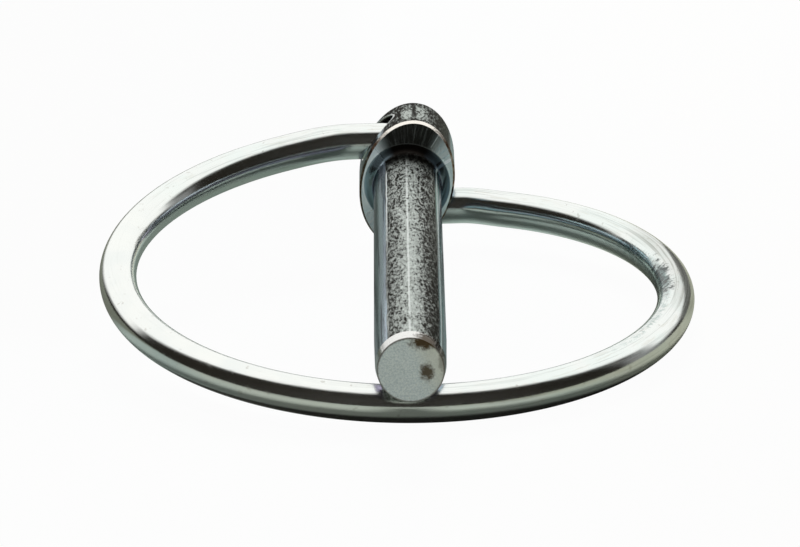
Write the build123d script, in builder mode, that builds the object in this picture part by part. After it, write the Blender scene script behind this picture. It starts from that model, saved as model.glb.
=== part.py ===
import os
from math import asin, cos, degrees, radians, sin, tan

from build123d import *

os.makedirs("parts", exist_ok=True)

# Lynch pin: a forged pin with an oval head, and a spring wire ring whose ends turn in the head.
# The origin lies on the pin's axis in the plane of the shoulder, with the tip towards -Y and Z up.
# The ring lies closed against the underside of the shank.

# shank
shank_diameter = 6.0
grip_length = 41.9  # straight length, from the shoulder to the start of the lead
lead_length = 5.9  # slight taper that finds the hole
lead_end_diameter = 5.86
point_length = 1.3  # steep bevel at the very tip
tip_diameter = 5.56
shoulder_fillet = 1.0

# head, an oval that leans to the right as seen from the tip
head_width = 8.4
head_height = 11.9
head_depth = 6.4
head_lean = 12.5
head_chamfer_width = 0.2  # on the front face
head_chamfer_depth = 0.35  # along the pin

# ring
wire_diameter = 3.2
ring_inner_diameter = 44.8
ring_shift = 1.05  # how far the ring's middle lies to the left of the pin's axis
ring_rest_gap = 0.08  # between the closed ring and the shank
bend_angle = 24.0  # turn of the ring, each side of its back, that an end bend replaces
bend_slope = 18.7  # of the line across an end bend; above half the bend angle, the head's side is tighter
bend_rise = 0.1  # height that each end bend takes up
straight_overhang = 0.6  # straight wire between the head and an end bend
wire_end_chamfer = 0.25

# blind holes in the head, the left one above the pin's axis and the right one below it;
# they are drilled wider than the wire, which bears on their inner front side
wire_offset = 3.15  # from the pin's axis to each end of the wire
hole_clearance = 0.35  # all round a wire in the middle of its hole
bearing_gap = 0.05  # left where the wire bears on the wall
bearing_angle = 40.0  # how far the bearing side is turned from the middle of the head to its front
hole_overrun = 0.9  # how far the full bore goes past the middle of the head
hole_end_gap = 0.3  # between the wire's end and the end of the full bore
hole_rim_chamfer = 0.12
hole_land = 0.16  # flat wall between a hole and the head's rounded back edge
drill_point_angle = 118.0

# what follows from these sizes
shank_radius = shank_diameter / 2
shank_length = grip_length + lead_length + point_length
wire_radius = wire_diameter / 2
hole_radius = wire_radius + hole_clearance
drill_point = hole_radius / tan(radians(drill_point_angle / 2))
hinge_y = head_depth / 2
bearing = radians(bearing_angle)
hole_offset = wire_offset + (hole_clearance - bearing_gap) * cos(bearing)
hole_y = hinge_y + (hole_clearance - bearing_gap) * sin(bearing)
head_back_fillet = head_depth - hole_y - hole_radius - hole_land
ring_radius = ring_inner_diameter / 2 + wire_radius
bend_start_x = head_width / 2 + straight_overhang
wire_end_x = hole_overrun - hole_end_gap
bend = radians(bend_angle)
bend_span = ring_radius * sin(bend) - bend_start_x
ring_setback = ring_radius * cos(bend) + bend_span * tan(radians(bend_slope))
ring_drop = shank_radius + ring_rest_gap + wire_radius
closed_angle = degrees(asin(ring_drop / (ring_radius + ring_setback)))

# the pin: shank and head in one piece
with BuildPart() as pin:
    with BuildSketch(Plane.XY):
        with BuildLine():
            Polyline(
                (0, 0),
                (shank_radius, 0),
                (shank_radius, -grip_length),
                (lead_end_diameter / 2, point_length - shank_length),
                (tip_diameter / 2, -shank_length),
                (0, -shank_length),
                close=True,
            )
        make_face()
    revolve(axis=Axis.Y)

    with BuildSketch(Plane.XZ):
        Ellipse(head_width / 2, head_height / 2, rotation=-head_lean)
    extrude(amount=-head_depth)

    head_rims = pin.edges().filter_by(GeomType.ELLIPSE).sort_by(Axis.Y)
    head_front = pin.faces().filter_by_position(Axis.Y, -0.01, 0.01)[0]
    chamfer(head_rims[0], head_chamfer_width, head_chamfer_depth, reference=head_front)
    fillet(head_rims[-1], head_back_fillet)

    shoulder_corner = pin.edges().filter_by(GeomType.CIRCLE).sort_by(Axis.Y)[-1]
    fillet(shoulder_corner, shoulder_fillet)

    # one blind hole from each side, with the cone that a drill leaves
    for side in (-1, 1):
        with BuildSketch(Plane.XY.offset(-side * hole_offset)):
            with BuildLine():
                Polyline(
                    (-side * (hole_overrun + drill_point), hole_y),
                    (-side * hole_overrun, hole_y + hole_radius),
                    (side * head_width, hole_y + hole_radius),
                    (side * head_width, hole_y),
                    close=True,
                )
            make_face()
        revolve(axis=Axis((0, hole_y, -side * hole_offset), (1, 0, 0)), mode=Mode.SUBTRACT)
        hole_rim = pin.edges(Select.LAST).sort_by(Axis.X)[0 if side < 0 else -1]
        chamfer(hole_rim, hole_rim_chamfer)

# the ring: a flat left-handed turn, because its left end sits higher than its right one,
# tilted about the holes until its front meets the shank, with a bend into each hole
coil_rise = 2 * (wire_offset - bend_rise)
coil_pitch = coil_rise * 360 / (360 - 2 * bend_angle)
ring_tilt = Location((0, hinge_y, 0), (closed_angle, 0, 0))
coil_start = Location((-ring_shift, -ring_setback, -coil_rise / 2), (0, 0, 90 - bend_angle))
coil_shape = Helix(coil_pitch, coil_rise, ring_radius, lefthand=True).moved(ring_tilt * coil_start)

with BuildPart() as ring:
    with BuildLine() as wire_path:
        right_end = Line(
            (-wire_end_x, hinge_y, -wire_offset), (bend_start_x, hinge_y, -wire_offset)
        )
        add(coil_shape)
        Spline(right_end @ 1, coil_shape @ 0, tangents=[right_end % 1, coil_shape % 0])
        left_end = Line((-bend_start_x, hinge_y, wire_offset), (wire_end_x, hinge_y, wire_offset))
        Spline(coil_shape @ 1, left_end @ 0, tangents=[coil_shape % 1, left_end % 0])
    with BuildSketch(Plane(origin=right_end @ 0, z_dir=right_end % 0)):
        Circle(wire_radius)
    sweep(path=wire_path.line)
    wire_ends = ring.edges().filter_by(GeomType.CIRCLE).sort_by_distance((0, hinge_y, 0))[:2]
    chamfer(wire_ends, wire_end_chamfer)

pin.part.label = "pin"
ring.part.label = "ring"

export_step(pin.part, "parts/pin.step")
export_step(ring.part, "parts/ring.step")
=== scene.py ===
import math

import bpy
from mathutils import Matrix, Vector


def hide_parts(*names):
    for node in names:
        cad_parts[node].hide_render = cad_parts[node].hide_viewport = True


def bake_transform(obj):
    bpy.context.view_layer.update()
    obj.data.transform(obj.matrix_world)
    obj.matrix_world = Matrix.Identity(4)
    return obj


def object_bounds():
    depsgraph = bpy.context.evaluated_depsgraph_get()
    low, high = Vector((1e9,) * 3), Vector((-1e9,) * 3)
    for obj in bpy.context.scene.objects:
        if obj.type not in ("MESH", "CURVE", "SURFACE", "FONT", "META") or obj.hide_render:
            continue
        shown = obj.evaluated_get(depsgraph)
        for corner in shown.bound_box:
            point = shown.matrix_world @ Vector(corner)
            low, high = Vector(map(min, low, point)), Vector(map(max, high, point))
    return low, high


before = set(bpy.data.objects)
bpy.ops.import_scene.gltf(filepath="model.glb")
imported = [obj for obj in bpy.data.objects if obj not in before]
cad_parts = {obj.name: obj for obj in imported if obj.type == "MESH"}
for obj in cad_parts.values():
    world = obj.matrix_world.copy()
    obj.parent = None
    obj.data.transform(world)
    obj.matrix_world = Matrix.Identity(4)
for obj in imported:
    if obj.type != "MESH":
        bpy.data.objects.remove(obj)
cadLow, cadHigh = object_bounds()
print("lynch pin: solids loaded")
mm = 0.001


# shader and node helpers

class Link:  # a socket that expressions can use; each operator adds its Math node
    def __init__(self, sheet, socket):
        self.sheet = sheet
        self.socket = socket

    def maths(self, operation, *others):
        return self.sheet.add("ShaderNodeMath", {"operation": operation}, [self, *others])

    def __add__(self, other): return self.maths("ADD", other)
    def __radd__(self, other): return self.maths("ADD", other)
    def __sub__(self, other): return self.maths("SUBTRACT", other)
    def __mul__(self, other): return self.maths("MULTIPLY", other)
    def __rmul__(self, other): return self.maths("MULTIPLY", other)
    def __truediv__(self, other): return self.maths("DIVIDE", other)
    def __pow__(self, other): return self.maths("POWER", other)

    def __rsub__(self, other):
        return self.sheet.add("ShaderNodeMath", {"operation": "SUBTRACT"}, [other, self])

    def abs(self): return self.maths("ABSOLUTE")
    def clamp(self): return self.maths("MINIMUM", 1.0).maths("MAXIMUM", 0.0)

    def ramp(self, low, high, start=0.0, end=1.0):  # smooth step from start to end
        return self.sheet.add("ShaderNodeMapRange", {"interpolation_type": "SMOOTHSTEP", "clamp": True},
                              {"Value": self, "From Min": low, "From Max": high,
                               "To Min": start, "To Max": end})

    def near(self, value, inside, outside):  # 1 within inside of the value, 0 beyond outside
        return (self - value).abs().ramp(inside, outside, 1, 0)


class Sheet:  # a node tree, with one way to add a node
    def __init__(self, tree):
        self.tree = tree
        tree.nodes.clear()

    def add(self, kind, settings=None, inputs=None, out=0):
        node = self.tree.nodes.new(kind)
        for name, value in (settings or {}).items():
            setattr(node, name, value)
        pairs = inputs.items() if isinstance(inputs, dict) else enumerate(inputs or [])
        for name, value in pairs:
            if isinstance(value, Link):
                self.tree.links.new(value.socket, node.inputs[name])
            else:
                node.inputs[name].default_value = value
        return Link(self, node.outputs[out]) if len(node.outputs) else node

    def mix(self, factor, first, second):
        colour = lambda c: c if isinstance(c, Link) else (*c, 1)
        return self.add("ShaderNodeMix", {"data_type": "RGBA"},
                        {0: factor, 6: colour(first), 7: colour(second)}, out=2)

    def noise(self, place, scale, detail, rough):
        return self.add("ShaderNodeTexNoise", None,
                        {"Vector": place, "Scale": scale, "Detail": detail, "Roughness": rough})

    def stretched(self, place, scale):  # draws a pattern out along an axis whose scale is below 1
        return self.add("ShaderNodeMapping", None, {"Vector": place, "Scale": scale})

    def other(self, link, out):  # another output of the same node
        return Link(self, link.socket.node.outputs[out])


def newMaterial(name):
    material = bpy.data.materials.new(name)
    material.use_nodes = True
    return material, Sheet(material.node_tree)


def finishMaterial(sheet, bsdf):
    sheet.add("ShaderNodeOutputMaterial", None, {"Surface": bsdf})


# camera

view = {"target": (-0.739, -30.0, 1.84), "distance": 500.0, "sensorWidth": 36,  # in mm
        "azimuth": 0.248, "elevation": 18.79, "roll": -1.667,  # in degrees
        "pixelsPerMm": 11.845, "imageWidth": 800}

camera = bpy.data.objects.new("camera", bpy.data.cameras.new("camera"))
bpy.context.collection.objects.link(camera)
az, el, roll = (math.radians(view[k]) for k in ("azimuth", "elevation", "roll"))
back = Vector((math.sin(az) * math.cos(el), -math.cos(az) * math.cos(el), math.sin(el)))
right = (-back).cross(Vector((0, 0, 1))).normalized()
up = right.cross(-back)
rolledRight = right * math.cos(roll) + up * math.sin(roll)
rolledUp = up * math.cos(roll) - right * math.sin(roll)
place = (Vector(view["target"]) + back * view["distance"]) * mm
facing = Matrix((rolledRight, rolledUp, back)).transposed().to_4x4()
camera.matrix_world = Matrix.Translation(place) @ facing
camera.data.sensor_width = view["sensorWidth"]
camera.data.lens = view["pixelsPerMm"] * view["distance"] * view["sensorWidth"] / view["imageWidth"]
camera.data.clip_start, camera.data.clip_end = 0.01, 20
bpy.context.scene.camera = camera
print("lynch pin: camera placed")


# finishes

wireLook = {"zinc": (0.91, 0.94, 0.92), "paleZinc": (0.97, 0.98, 0.95), "teal": (0.76, 0.89, 0.87),
            "dieLine": (0.34, 0.39, 0.37), "streak": (0.58, 0.56, 0.46), "speck": (0.40, 0.36, 0.30),
            "grit": (0.030, 0.042, 0.042), "gritEdge": (0.30, 0.42, 0.40), "rubbed": (0.34, 0.35, 0.31),
            "ringMiddle": (-1.05, -21.8), "ringRadius": 24.0,
            "gritPlace": (-0.95, -19.4), "gritSize": (0.85, 4.2)}


def wireFinish(look):
    material, s = newMaterial("bright zinc wire")
    along = s.add("ShaderNodeAttribute", {"attribute_name": "along"}, None, out=2)
    around = s.add("ShaderNodeAttribute", {"attribute_name": "around"}, None, out=1)
    split = s.add("ShaderNodeSeparateXYZ", None, [around])
    place = s.add("ShaderNodeCombineXYZ", None, [along, split, s.other(split, 1)])
    drawn = s.stretched(place, (0.12, 1, 1))
    streaks = s.noise(drawn, 2600, 3, 0.6)
    dieLines = s.noise(s.stretched(place, (0.025, 1, 1)), 4200, 2, 0.6)
    cloud = s.noise(place, 260, 3, 0.5)
    specks = s.noise(place, 1500, 2, 0.5).ramp(0.66, 0.74)
    rubbed = s.noise(drawn, 700, 4, 0.65).ramp(0.56, 0.72)
    gritty = s.noise(place, 1700, 4, 0.75) - 0.5

    # a point's place in the closed ring, in mm, and how far outwards it lies on the wire
    home = s.add("ShaderNodeAttribute", {"attribute_name": "home"}, None, out=1)
    where = s.add("ShaderNodeSeparateXYZ", None, [home])
    x, y = where * 1000.0, s.other(where, 1) * 1000.0
    middleX, middleY = look["ringMiddle"]
    outward = ((x - middleX) ** 2.0 + (y - middleY) ** 2.0) ** 0.5 - look["ringRadius"]

    # the right side and the back are marked by the bending dies
    marked = (x.ramp(-12.0, 14.0) + y.ramp(-14.0, -4.0)).clamp() * 0.85 + 0.12
    tint = s.mix(cloud.ramp(0.35, 0.65), look["zinc"], look["paleZinc"])
    # painted reflection: teal clouds on the marked parts
    tint = s.mix(cloud.ramp(0.42, 0.62) * marked * 0.4, tint, look["teal"])
    tint = s.mix(dieLines.ramp(0.54, 0.66) * marked * 0.3, tint, look["dieLine"])
    tint = s.mix(streaks.ramp(0.55, 0.68) * marked * 0.26, tint, look["streak"])

    # a gritty scuff on the inner side at the right, and rubbed lines beside it
    gritOut, gritY = look["gritPlace"]
    gritWide, gritLong = look["gritSize"]
    fromScuff = (((outward - gritOut) / gritWide) ** 2.0 + ((y - gritY) / gritLong) ** 2.0) ** 0.5
    fromScuff = fromScuff + x.ramp(18.0, 15.0) * 9.0
    scuff = (fromScuff + gritty * 3.6).ramp(0.4, 1.2, 1, 0)
    tint = s.mix(scuff * 0.93, tint, look["grit"])
    inner = outward.ramp(-0.35, -0.75) * x.ramp(15.0, 20.5)
    tint = s.mix((gritty + 0.05).ramp(0.0, 0.12) * inner * 0.55, tint, look["gritEdge"])
    rubbedSide = x.ramp(18.5, 21.5) * y.ramp(-29.0, -24.0) * outward.ramp(-0.6, 0.3)
    tint = s.mix(rubbedSide * (0.30 + 0.45 * dieLines.ramp(0.42, 0.58)), tint, look["rubbed"])
    tint = s.mix(specks * 0.3, tint, look["speck"])

    rough = 0.12 + 0.06 * streaks + 0.10 * rubbed * marked + 0.1 * specks + 0.12 * scuff
    bump = s.add("ShaderNodeBump", None, {"Strength": 0.22, "Distance": 0.00006,
                                          "Height": streaks * 0.4 + dieLines * 0.25 + cloud * 0.9})
    bsdf = s.add("ShaderNodeBsdfPrincipled", None,
                 {"Base Color": tint, "Metallic": 1.0, "Roughness": rough, "Normal": bump})
    finishMaterial(s, bsdf)
    return material


forgedLook = {
    # lines and angles on the pin, in mm and degrees
    "dieLean": 7.5, "dieHalfAngle": 47.0, "headLean": 12.5, "headHalfWidth": 4.2, "headHalfHeight": 5.95,
    "chamferDepth": 0.35, "filletEnd": -1.0, "backY": 6.4, "bevelY": -47.8, "tipY": -49.1,
    "holeY": 3.393, "holeOffset": 3.38, "holeRadius": 1.95, "shankRadius": 3.0, "filletRadius": 4.0,
    "tipRadius": 2.78, "paleX": (0.1, 1.5), "markX": 0.78, "darkLineAngle": 53.0,
    "brightLineAngle": 61.0, "darkReflectionAngle": 4.0, "scratchAngle": 33.0, "edgeHighlightAngle": 3.0,
    # each rust spot: x, z, half width, half height, strength
    "rustSpots": ((1.15, 2.3, 1.2, 0.6, 1.0), (1.3, -0.15, 0.62, 0.85, 0.95),
                  (2.6, 0.9, 0.35, 1.2, 0.5)),
    # the scaled sides, with a painted highlight along the top of the shank
    "darkScale": (0.020, 0.017, 0.013), "lightZinc": (0.68, 0.74, 0.70),
    "crownGlint": (0.88, 0.93, 0.90), "seamLine": (0.92, 0.98, 0.96),
    # the smooth flanks
    "sideZinc": (0.70, 0.85, 0.93), "purple": (0.70, 0.62, 0.84), "teal": (0.32, 0.76, 0.80),
    "flankLine": (0.13, 0.17, 0.19), "flankEdge": (0.38, 0.33, 0.50), "flankDark": (0.03, 0.05, 0.05),
    "flankBright": (0.80, 0.97, 0.97),
    # the head's front face, fillet, edge and rims, with painted light and shade: a dark reflection at the
    # top, a lighter left and a darker right side of the fillet, a highlight on the top of the edge and
    # shade inside the holes
    "face": (0.80, 0.92, 0.97), "paleFace": (0.93, 0.98, 1.0), "darkReflection": (0.040, 0.040, 0.037),
    "paleDarkReflection": (0.20, 0.21, 0.21), "scratch": (0.85, 0.88, 0.90), "filletLitLeft": (0.30, 0.40, 0.46),
    "filletShadedRight": (0.12, 0.17, 0.21), "filletDarkReflection": (0.018, 0.015, 0.013), "filletRim": (0.42, 0.45, 0.46),
    "edgeBrown": (0.10, 0.055, 0.030), "edgeGrey": (0.34, 0.31, 0.27), "edgeHighlight": (0.99, 0.95, 0.88),
    "ragged": (0.030, 0.022, 0.017), "holeRim": (0.90, 0.93, 0.92), "holeShade": (0.05, 0.042, 0.035),
    # the tip
    "bevel": (1.0, 1.0, 0.98), "bevelDark": (0.06, 0.05, 0.042), "bevelGrey": (0.34, 0.33, 0.30),
    "tipZinc": (0.72, 0.78, 0.75), "tipDull": (0.52, 0.60, 0.60), "tipSpeck": (0.42, 0.42, 0.30),
    "tipYellow": (0.66, 0.66, 0.54), "tipEdge": (0.10, 0.085, 0.07), "rust": (0.060, 0.038, 0.014)}


def forgedFinish(look):
    material, s = newMaterial("mottled zinc forging")
    place = s.add("ShaderNodeTexCoord", None, None, out=3)
    place = s.add("ShaderNodeVectorMath", {"operation": "SCALE"}, {0: place, "Scale": 1000.0})  # in mm
    split = s.add("ShaderNodeSeparateXYZ", None, [place])
    x, y, z = split, s.other(split, 1), s.other(split, 2)
    inDegrees = 180 / math.pi

    def turned(degrees):  # x and z about the pin's axis
        cos, sin = math.cos(math.radians(degrees)), math.sin(math.radians(degrees))
        return x * cos - z * sin, x * sin + z * cos

    # where on the pin a point lies
    tipFace = y.ramp(look["tipY"] + 0.03, look["tipY"] + 0.01)
    tipBevel = y.ramp(look["bevelY"] + 0.04, look["bevelY"] - 0.04) * (1 - tipFace)
    head = y.ramp(look["chamferDepth"] - 0.02, look["chamferDepth"] + 0.02)
    shank = 1 - head
    face = y.ramp(-0.02, -0.005) * y.ramp(0.03, 0.01)
    chamfer = y.ramp(0.01, 0.03) * shank
    fillet = y.ramp(look["filletEnd"] - 0.1, look["filletEnd"] + 0.25) * (1 - y.ramp(-0.02, -0.005))
    back = y.ramp(look["backY"] - 0.75, look["backY"] - 0.35)
    leftSide = x.ramp(-0.5, -1.0)
    outward = (x * x + z * z) ** 0.5
    fromTop = x.maths("ARCTAN2", z) * inDegrees  # positive to the right

    # the dies left scale above and below, and smooth trimmed flanks left and right
    wobble = s.noise(place, 0.35, 3, 0.6) * 6 - 3
    dieX, dieZ = turned(look["dieLean"])
    shankAngle = dieX.abs().maths("ARCTAN2", dieZ.abs()) * inDegrees + wobble
    headX, headZ = turned(look["headLean"])
    headX, headZ = headX.abs() / look["headHalfWidth"], headZ.abs() / look["headHalfHeight"]
    headAngle = headX.maths("ARCTAN2", headZ) * inDegrees + wobble
    half = look["dieHalfAngle"]
    shankDie = shankAngle.ramp(half - 1.5, half + 1.0, 1, 0)
    headDie = headAngle.ramp(half - 4, half + 5, 1, 0)
    dieSide = (shankDie * shank + headDie * head).maths("MAXIMUM", back)

    # curled flecks and fine grain, drawn out along the shank; painted shade makes it darkest by the head,
    # where it mirrors the head's dark face, and at the sides, and a painted highlight lightens the middle
    # of the top
    drawn = s.stretched(place, (1, 0.36, 1))
    grain = s.noise(drawn, 4.7, 3, 0.7) - 0.5
    blotch = s.noise(drawn, 1.1, 3, 0.6) - 0.5
    cloudy = s.noise(drawn, 3.0, 4, 0.7) - 0.5
    curls = s.noise(drawn, 1.9, 3, 0.62).near(0.5, 0.014, 0.034)
    # painted shade towards the head and at the sides, and a painted highlight along the middle of the top
    along = y.ramp(-4.0, -38.0)  # from 0 near the head to 1 near the tip
    crownSheen = (x - 0.2 + blotch * 1.4).near(0, 0.05, 1.05) * (0.75 + blotch * 1.6)
    shadedSides = x.abs().ramp(0.7, 2.0)
    level = 0.22 + 0.24 * crownSheen + 0.12 * along + 0.22 * along * crownSheen - 0.09 * x.ramp(0.7, 2.0)
    level = (level + blotch * 0.55) * y.ramp(-1.0, -5.0, 0.25, 1.0)
    flecks = (grain + level * 0.24 - shadedSides * 0.055).ramp(0.05, 0.09) * 0.75
    flecks = (flecks + curls * (0.9 + crownSheen * 0.2 - shadedSides * 0.28)).clamp()
    flecks = flecks * (y + blotch * 1.5).ramp(-1.2, -3.0, 0.15, 1.0)
    shankTone = level * 0.06 + flecks * (0.86 + 0.14 * crownSheen) * (1 - along * 0.45)
    shankTone = shankTone + along * (level * 0.46 + cloudy * 1.2 + grain * 1.1 - shadedSides * 0.22)
    # painted highlight: a thin bright line along the top of the shank
    crownGlint = x.abs().ramp(0.05, 0.12, 1, 0) * y.ramp(-1.5, -3.0)
    crownGlint = crownGlint * s.noise(drawn, 1.6, 2, 0.5).ramp(0.32, 0.50)
    seamLine = shankAngle.near(half - 2.5, 0.7, 1.9) * leftSide
    seamLine = seamLine * y.ramp(-3.0, -4.5) * y.ramp(-30.0, -14.0, 0.25, 1.0)

    # the head's band is dark, with two pale patches and a dark mark between them
    drift = x + blotch * 2.2
    firstX, secondX = look["paleX"]
    patches = drift.near(firstX, 0.1, 0.9) * 0.40 + drift.near(secondX, 0.1, 0.95) * 0.36
    patches = patches * y.ramp(0.3, 1.6) * y.ramp(5.6, 4.2)
    headFlecks = (grain + patches * 0.30 + blotch * 0.1).ramp(0.02, 0.10)
    headTone = patches * 0.36 + headFlecks * (0.56 + patches * 0.7) * x.ramp(1.5, 3.2, 1, 0.5)
    mark = (x - blotch * 0.5).near(look["markX"], 0.06, 0.2) * y.ramp(0.8, 1.6)
    backTone = 0.16 + blotch * 0.5 + (grain + blotch * 0.3).ramp(-0.02, 0.08) * 0.34
    headTone = headTone * (1 - mark * 0.85) * (1 - back) + backTone * back
    tone = (shankTone * shank + headTone * head).clamp()
    dieTint = s.mix(tone, look["darkScale"], look["lightZinc"])
    dieTint = s.mix(crownGlint * 0.8 * shank, dieTint, look["crownGlint"])
    dieTint = s.mix(seamLine * 0.95 * shank, dieTint, look["seamLine"])

    # the flanks, with long lines and a bright line beside a dark one on the right
    lines = s.noise(s.stretched(place, (1, 0.02, 1)), 3.2, 3, 0.6)
    purpleness = (lines.ramp(0.40, 0.62) * 0.4 + fromTop.abs().ramp(64.0, 80.0) * 0.7).clamp()
    flankTint = s.mix(purpleness, look["sideZinc"], look["purple"])
    flankTint = s.mix(x.ramp(0.5, 1.5) * lines.ramp(0.5, 0.42) * 0.8, flankTint, look["teal"])
    flankTint = s.mix(lines.ramp(0.51, 0.58) * 0.7, flankTint, look["flankLine"])
    flankTint = s.mix(fromTop.ramp(-64.0, -86.0) * shank * 0.6, flankTint, look["flankEdge"])
    wavy = fromTop - wobble * 0.4
    darkLine = wavy.near(look["darkLineAngle"], 2.0, 4.0) * shank
    flankTint = s.mix(darkLine * 0.8, flankTint, look["flankDark"])
    brightLine = wavy.near(look["brightLineAngle"], 1.2, 3.0) * shank
    flankTint = s.mix(brightLine * 0.9, flankTint, look["flankBright"])
    tint = s.mix(dieSide, flankTint, dieTint)

    # the head's front face, turned smooth, with faint strokes that run outwards, and a painted dark
    # reflection at the top
    spoke = z.maths("ARCTAN2", x) * 14
    spokes = s.noise(s.add("ShaderNodeCombineXYZ", None, [spoke, outward * 0.2, 0.0]), 1.8, 4, 0.65)
    # painted dark reflection: the face and fillet are darkened round the top
    darkReflectionMask = fromTop.near(look["darkReflectionAngle"], 22.0, 46.0)
    paleFace = s.mix(spokes.ramp(0.35, 0.65), look["face"], look["paleFace"])
    darkReflectionFace = s.mix(spokes.ramp(0.48, 0.75), look["darkReflection"], look["paleDarkReflection"])
    faceTint = s.mix(darkReflectionMask, paleFace, darkReflectionFace)
    filletRadius = look["filletRadius"]
    scratch = fromTop.near(look["scratchAngle"], 0.3, 0.9) * outward.ramp(filletRadius, filletRadius + 0.1)
    faceTint = s.mix(scratch * 0.7, faceTint, look["scratch"])
    tint = s.mix(face, tint, faceTint)
    # painted light and shade: the fillet is lighter at the left and darker at the right
    filletLightAndShade = s.mix(x.ramp(-1.0, 1.0), look["filletLitLeft"], look["filletShadedRight"])
    filletTint = s.mix(darkReflectionMask, filletLightAndShade, look["filletDarkReflection"])
    rim = outward.ramp(filletRadius - 0.25, filletRadius - 0.05)
    filletTint = s.mix(rim, filletTint, look["filletRim"])
    offShank = outward.ramp(look["shankRadius"] + 0.02, look["shankRadius"] + 0.2)
    tint = s.mix(fillet * offShank, tint, filletTint)

    # the edge round the front face, with a painted highlight on top and ragged brown at the sides
    chipped = s.noise(place, 2.4, 4, 0.75)
    topEdgeHighlight = (fromTop + (chipped - 0.5) * 20).near(look["edgeHighlightAngle"], 20.0, 40.0)
    edgeTint = s.mix(chipped.ramp(0.42, 0.62), look["edgeBrown"], look["edgeGrey"])
    tint = s.mix(chamfer, tint, s.mix(topEdgeHighlight, edgeTint, look["edgeHighlight"]))
    ragEdge = (y - chipped * 3.2 + 1.05).ramp(0.2, 0.5, 1, 0) * head * x.ramp(-0.5, -2.0)
    ragEdge = ragEdge * z.ramp(2.8, 1.8) * z.ramp(-4.5, -2.5)
    tint = s.mix(ragEdge * 0.9, tint, look["ragged"])

    # the left hole lies above the axis and the right one below; their rims are pale, and painted shade
    # darkens inside them
    sign = x.maths("SIGN")
    toHole = ((y - look["holeY"]) ** 2.0 + (z * sign + look["holeOffset"]) ** 2.0) ** 0.5
    holeRim = toHole.near(look["holeRadius"] + 0.06, 0.05, 0.12) * x.abs().ramp(0.6, 0.9) * head
    # painted shade: the bore is darkened
    holeShade = toHole.ramp(look["holeRadius"] + 0.02, look["holeRadius"] - 0.02) * head
    tint = s.mix(holeRim, tint, look["holeRim"])
    tint = s.mix(holeShade, tint, look["holeShade"])

    # the bevelled tip, bright, and the flat end, duller, with rusty places
    worn = (s.noise(place, 3.0, 4, 0.75) - 0.5 + (x - 0.75) * 0.35).ramp(-0.06, 0.14)
    wornTint = s.mix(grain.ramp(-0.05, 0.1), look["bevelDark"], look["bevelGrey"])
    tint = s.mix(tipBevel, tint, s.mix(worn, look["bevel"], wornTint))
    matte = s.noise(place, 6.5, 4, 0.75)
    tipTint = s.mix(matte.ramp(0.38, 0.62), look["tipZinc"], look["tipDull"])
    tipTint = s.mix(s.noise(place, 9.0, 2, 0.6).ramp(0.62, 0.7) * 0.5, tipTint, look["tipSpeck"])
    tipTint = s.mix((x + z * 0.4).ramp(0.2, 2.6) * 0.6, tipTint, look["tipYellow"])
    tint = s.mix(tipFace, tint, tipTint)
    tipEdge = (outward + matte * 0.12).ramp(look["tipRadius"] - 0.12, look["tipRadius"] + 0.02)
    tipEdge = tipEdge * y.ramp(look["tipY"] + 0.14, look["tipY"] + 0.06)
    tint = s.mix(tipEdge * 0.8, tint, look["tipEdge"])
    ragged = (s.noise(place, 2.6, 5, 0.8) - 0.5) * 2.2
    rust = 0
    for rustX, rustZ, wide, tall, strength in look["rustSpots"]:
        away = (((x - rustX) / wide) ** 2.0 + ((z - rustZ) / tall) ** 2.0) ** 0.5
        rust = (away + ragged).ramp(0.45, 1.25, 1, 0) * strength + rust
    rust = rust.clamp() * y.ramp(look["tipY"] + 1.2, look["tipY"] + 0.6)
    tint = s.mix(rust * 0.99, tint, look["rust"])

    rough = 0.17 + 0.20 * dieSide * (1 - tone * 0.5) + 0.06 * lines
    rough = rough * (1 - face * 0.25) * (1 - holeRim * 0.4) + 0.45 * tipFace + rust * 0.3
    rough = rough * (1 - tipBevel * 0.5) * (1 - chamfer * 0.6)
    # rust, the dull end and the zinc's white bloom are less metallic than the bright zinc
    metal = (1 - rust) * (1 - tipFace * 0.75) * (1 - face * (1 - darkReflectionMask) * x.ramp(1.0, -2.0, 0.10, 0.36))
    metal = metal * (1 - dieSide * shank * (1 - tipBevel) * tone * 0.30)
    bloom = (brightLine + fromTop.ramp(-62.0, -54.0) * leftSide * 0.4) * (1 - dieSide)
    metal = metal * (1 - (seamLine + bloom).clamp() * shank * 0.6)
    relief = grain * 2.0 * dieSide * (1 - tipFace) * (1 - fillet) + spokes * 0.3 * face
    relief = relief + matte * 0.5 * tipFace
    bump = s.add("ShaderNodeBump", None, {"Strength": 0.6, "Distance": 0.00003, "Height": relief})
    bsdf = s.add("ShaderNodeBsdfPrincipled", None,
                 {"Base Color": tint, "Metallic": metal, "Roughness": rough, "Normal": bump,
                  "Specular Tint": (0.5, 0.5, 0.5, 1)})
    finishMaterial(s, bsdf)
    return material


wireMaterial = wireFinish(wireLook)
forgedMaterial = forgedFinish(forgedLook)
print("lynch pin: finishes made")


# pin

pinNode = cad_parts["pin"]
pinNode.data.materials.clear()
pinNode.data.materials.append(forgedMaterial)
for face in pinNode.data.polygons:
    face.material_index = 0


# ring

ringSizes = {"wireRadius": 1.6, "radius": 24.0, "shift": 1.05, "endBend": 24.0, "bendSlope": 18.7,
             "bendRise": 0.1, "wireOffset": 3.15, "hingeY": 3.2, "bendStart": 4.8, "endInside": 0.6,
             "drop": 4.68, "coilPoints": 240, "bendPoints": 16, "sides": 56, "step": 0.4}


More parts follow.
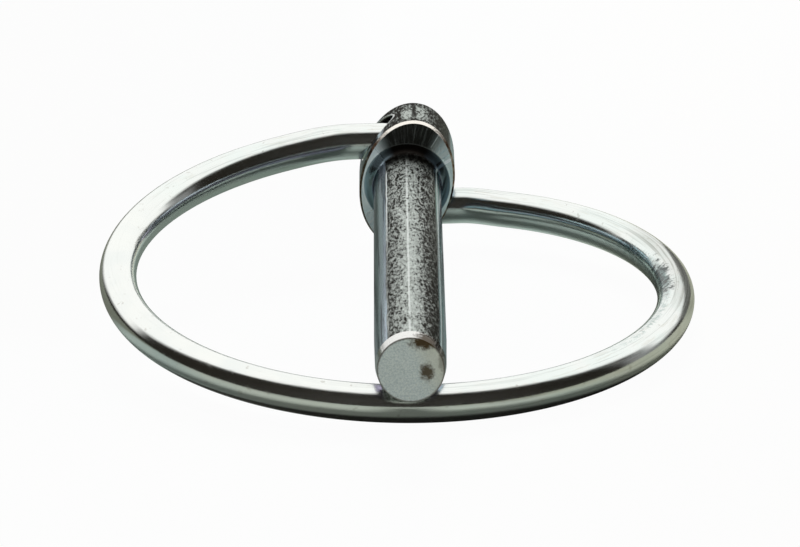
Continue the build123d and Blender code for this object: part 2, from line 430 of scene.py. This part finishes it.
def ringLine(sizes):  # from the right end round the front to the left end
    radius, bend = sizes["radius"], math.radians(sizes["endBend"])
    start = sizes["bendStart"]
    slope = math.tan(math.radians(sizes["bendSlope"]))
    setback = radius * math.cos(bend) + (radius * math.sin(bend) - start) * slope
    closed = math.asin(sizes["drop"] / (radius + setback))
    rise = 2 * (sizes["wireOffset"] - sizes["bendRise"])
    tilt = Matrix.Translation((0, sizes["hingeY"], 0)) @ Matrix.Rotation(closed, 4, "X")
    coil = []
    for i in range(sizes["coilPoints"] + 1):
        part = i / sizes["coilPoints"]
        turn = bend + part * (2 * math.pi - 2 * bend)
        coil.append(tilt @ Vector((-sizes["shift"] + radius * math.sin(turn),
                                   -setback + radius * math.cos(turn), -rise / 2 + part * rise)))
    ends = []
    for side, height, near, further in ((1, -sizes["wireOffset"], coil[0], coil[1]),
                                        (-1, sizes["wireOffset"], coil[-1], coil[-2])):
        mouth = Vector((side * start, sizes["hingeY"], height))
        pull = (near - mouth).length
        outwards = Vector((side, 0, 0)) * pull
        joining = (further - near).normalized() * pull
        points = [Vector((side * -sizes["endInside"], sizes["hingeY"], height))]
        for i in range(sizes["bendPoints"]):
            t = i / sizes["bendPoints"]
            points.append(mouth * (2 * t**3 - 3 * t**2 + 1) + outwards * (t**3 - 2 * t**2 + t)
                          + near * (3 * t**2 - 2 * t**3) + joining * (t**3 - t**2))
        ends.append(points)
    return ends[0] + coil + ends[1][::-1]


def tubeTree(name, material):
    tree = bpy.data.node_groups.new(name, "GeometryNodeTree")
    tree.interface.new_socket("Line", in_out="INPUT", socket_type="NodeSocketGeometry")
    for label in ("Wire radius", "Step"):
        tree.interface.new_socket(label, in_out="INPUT", socket_type="NodeSocketFloat")
    tree.interface.new_socket("Sides", in_out="INPUT", socket_type="NodeSocketInt")
    tree.interface.new_socket("Tube", in_out="OUTPUT", socket_type="NodeSocketGeometry")
    s = Sheet(tree)
    given = s.add("NodeGroupInput")
    radius, step, sides = (s.other(given, n) for n in ("Wire radius", "Step", "Sides"))
    line = s.add("GeometryNodeResampleCurve", {"mode": "LENGTH"}, {"Curve": given, "Length": step})
    length = s.add("GeometryNodeSplineParameter", None, None, out=1)
    line = s.add("GeometryNodeStoreNamedAttribute", {"data_type": "FLOAT", "domain": "POINT"},
                 {"Geometry": line, "Name": "along", "Value": length})
    circle = s.add("GeometryNodeCurvePrimitiveCircle", None, {"Resolution": sides, "Radius": radius})
    spot = s.add("GeometryNodeInputPosition")
    circle = s.add("GeometryNodeStoreNamedAttribute", {"data_type": "FLOAT_VECTOR", "domain": "POINT"},
                   {"Geometry": circle, "Name": "around", "Value": spot})
    tube = s.add("GeometryNodeCurveToMesh", None,
                 {"Curve": line, "Profile Curve": circle, "Fill Caps": True})
    tube = s.add("GeometryNodeStoreNamedAttribute", {"data_type": "FLOAT_VECTOR", "domain": "POINT"},
                 {"Geometry": tube, "Name": "home", "Value": s.add("GeometryNodeInputPosition")})
    tube = s.add("GeometryNodeSetShadeSmooth", None, {"Geometry": tube})
    tube = s.add("GeometryNodeRealizeInstances", None, {"Geometry": tube})
    tube = s.add("GeometryNodeSetMaterial", None, {"Geometry": tube, "Material": material})
    s.add("NodeGroupOutput", None, [tube])
    return tree


def makeRing(sizes):
    curve = bpy.data.curves.new("ringLine", "CURVE")
    curve.dimensions = "3D"
    points = [p * mm for p in ringLine(sizes)]
    spline = curve.splines.new("POLY")
    spline.points.add(len(points) - 1)
    for point, spot in zip(spline.points, points):
        point.co = (*spot, 1)
    holder = bpy.data.objects.new("ringLine", curve)
    bpy.context.collection.objects.link(holder)
    tree = tubeTree("wire tube", wireMaterial)
    modifier = holder.modifiers.new("tube", "NODES")
    modifier.node_group = tree
    sockets = {i.name: i.identifier for i in tree.interface.items_tree if i.in_out == "INPUT"}
    modifier[sockets["Wire radius"]] = sizes["wireRadius"] * mm
    modifier[sockets["Step"]] = sizes["step"] * mm
    modifier[sockets["Sides"]] = sizes["sides"]
    bpy.context.view_layer.update()
    graph = bpy.context.evaluated_depsgraph_get()
    mesh = bpy.data.meshes.new_from_object(holder.evaluated_get(graph), depsgraph=graph)
    bpy.data.objects.remove(holder)
    ring = bpy.data.objects.new("ringWire", mesh)
    bpy.context.collection.objects.link(ring)
    return ring


ring = makeRing(ringSizes)
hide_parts("ring")
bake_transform(ring)
print("lynch pin: ring made,", len(ring.data.polygons), "faces")


# floor and light

studio = {  # lengths are in metres, but the flag's corners in mm
    "floorSize": 3.0, "floorGap": 0.00002, "cameraShare": 0.97, "flagGrey": (0.16, 0.16, 0.15),
    "floorColour": (0.46, 0.50, 0.44), "floorShadeBehind": (0.34, 0.40, 0.37),
    "floorLightRight": (0.42, 0.43, 0.35), "floorShadeLeft": (0.15, 0.16, 0.13),
    "floorShadeBackLeft": (0.17, 0.205, 0.18), "floorShadowUnder": (0.05, 0.05, 0.045),
    "ringMiddle": (-0.00105, -0.0218), "shadowRadius": 0.0231,
    "white": (1.0, 1.0, 0.985), "dark": (0.016, 0.014, 0.011), "rightGlow": 0.24,
    "overhead": (0.0, 0.643, 0.766), "fill": 0.08, "frontFill": 1.1,
    "lampPlace": (0.0, 0.25, 0.25), "lampSize": 0.2, "lampWatts": 1.6,
    "flagLow": (36.0, 60.0, -6.0), "flagHigh": (110.0, 60.0, 26.0)}


def makeFloor():
    mesh = bpy.data.meshes.new("floor")
    size, level = studio["floorSize"], cadLow.z - studio["floorGap"]
    corners = ((-size, -size), (size, -size), (size, size), (-size, size))
    mesh.from_pydata([(x, y, level) for x, y in corners], [], [(0, 1, 2, 3)])
    floor = bpy.data.objects.new("floor", mesh)
    bpy.context.collection.objects.link(floor)
    material, s = newMaterial("pale floor")
    seen = s.add("ShaderNodeLightPath")
    place = s.add("ShaderNodeTexCoord", None, None, out=3)
    x = s.add("ShaderNodeSeparateXYZ", None, [place])
    y = s.other(x, 1)
    # what the ring and pin mirror from below, painted with light and shade: pale in front, a painted pool
    # of light at the right, painted shade behind and at the left, and a painted shadow under the ring
    shade = s.mix(y.ramp(-0.050, -0.034), studio["floorColour"], studio["floorShadeBehind"])
    shade = s.mix(x.ramp(0.010, 0.026), shade, studio["floorLightRight"])
    shade = s.mix(x.ramp(-0.003, -0.007) * y.ramp(-0.012, -0.006), shade, studio["floorShadeBackLeft"])
    shade = s.mix(x.ramp(-0.0255, -0.029) * y.ramp(-0.026, -0.016), shade, studio["floorShadeLeft"])
    middleX, middleY = studio["ringMiddle"]
    fromMiddle = ((x - middleX) ** 2.0 + (y - middleY) ** 2.0) ** 0.5
    # painted shadow: a dark ring on the floor under the front of the wire
    ringShadow = fromMiddle.near(studio["shadowRadius"], 0.0008, 0.0016) * y.ramp(-0.028, -0.036)
    shade = s.mix(ringShadow, shade, studio["floorShadowUnder"])
    card = s.add("ShaderNodeBsdfDiffuse", None, {"Color": shade})
    white = s.add("ShaderNodeEmission", None, {"Color": (1, 1, 1, 1), "Strength": 1.0})
    finishMaterial(s, s.add("ShaderNodeMixShader", None, [seen * studio["cameraShare"], card, white]))
    mesh.materials.append(material)


def makeFlag():  # a dark card behind on the right, seen only in reflections
    low, high = Vector(studio["flagLow"]) * mm, Vector(studio["flagHigh"]) * mm
    mesh = bpy.data.meshes.new("flag")
    mesh.from_pydata([(low.x, low.y, low.z), (high.x, high.y, low.z), (high.x, high.y, high.z),
                      (low.x, low.y, high.z)], [], [(0, 1, 2, 3)])
    flag = bpy.data.objects.new("flag", mesh)
    bpy.context.collection.objects.link(flag)
    material, s = newMaterial("dark card")
    grey = s.add("ShaderNodeEmission", None, {"Color": (*studio["flagGrey"], 1), "Strength": 1.0})
    finishMaterial(s, grey)
    mesh.materials.append(material)
    flag.visible_camera = flag.visible_diffuse = flag.visible_shadow = False


def makeWorld():
    world = bpy.data.worlds.new("studio")
    world.use_nodes = True
    bpy.context.scene.world = world
    s = Sheet(world.node_tree)
    direction = s.add("ShaderNodeTexCoord", None, None, out=0)
    split = s.add("ShaderNodeSeparateXYZ", None, [direction])
    x, y, z = split, s.other(split, 1), s.other(split, 2)
    path = s.add("ShaderNodeLightPath")
    glossy = s.other(path, "Is Glossy Ray")
    # a soft light overhead and a white backdrop behind; the rest of the room is dark, less so far right
    overhead = s.add("ShaderNodeVectorMath", {"operation": "DOT_PRODUCT"},
                     {0: direction, 1: studio["overhead"]}, out=1).ramp(0.50, 0.68)
    backdrop = y.ramp(0.25, 0.45) * z.ramp(0.08, 0.27)
    toRight = x.ramp(0.80, 0.95) * y.ramp(0.02, 0.15)
    room = s.mix(toRight, studio["dark"], (studio["rightGlow"],) * 3)
    light = s.mix(overhead.maths("MAXIMUM", backdrop), room, studio["white"])
    # what isn't mirrored is lit faintly from all round, and more from the front
    fill = s.mix(y.ramp(-0.35, -0.85), (studio["fill"],) * 3, (studio["frontFill"],) * 3)
    shown = s.mix(glossy, fill, light)
    shown = s.mix(path, shown, (1, 1, 1))
    background = s.add("ShaderNodeBackground", None, {"Color": shown, "Strength": 1.0})
    s.add("ShaderNodeOutputWorld", None, {"Surface": background})


def makeLamp(name, place, size, watts):
    data = bpy.data.lights.new(name, "AREA")
    data.shape, data.size, data.energy = "DISK", size, watts
    lamp = bpy.data.objects.new(name, data)
    bpy.context.collection.objects.link(lamp)
    lamp.location = place
    lamp.rotation_euler = (-Vector(place)).to_track_quat("-Z", "Y").to_euler()
    lamp.visible_glossy = False


makeFloor()
makeFlag()
makeWorld()
makeLamp("softbox", studio["lampPlace"], studio["lampSize"], studio["lampWatts"])
bpy.context.scene.view_settings.view_transform = "Standard"
print("lynch pin: floor and light made")
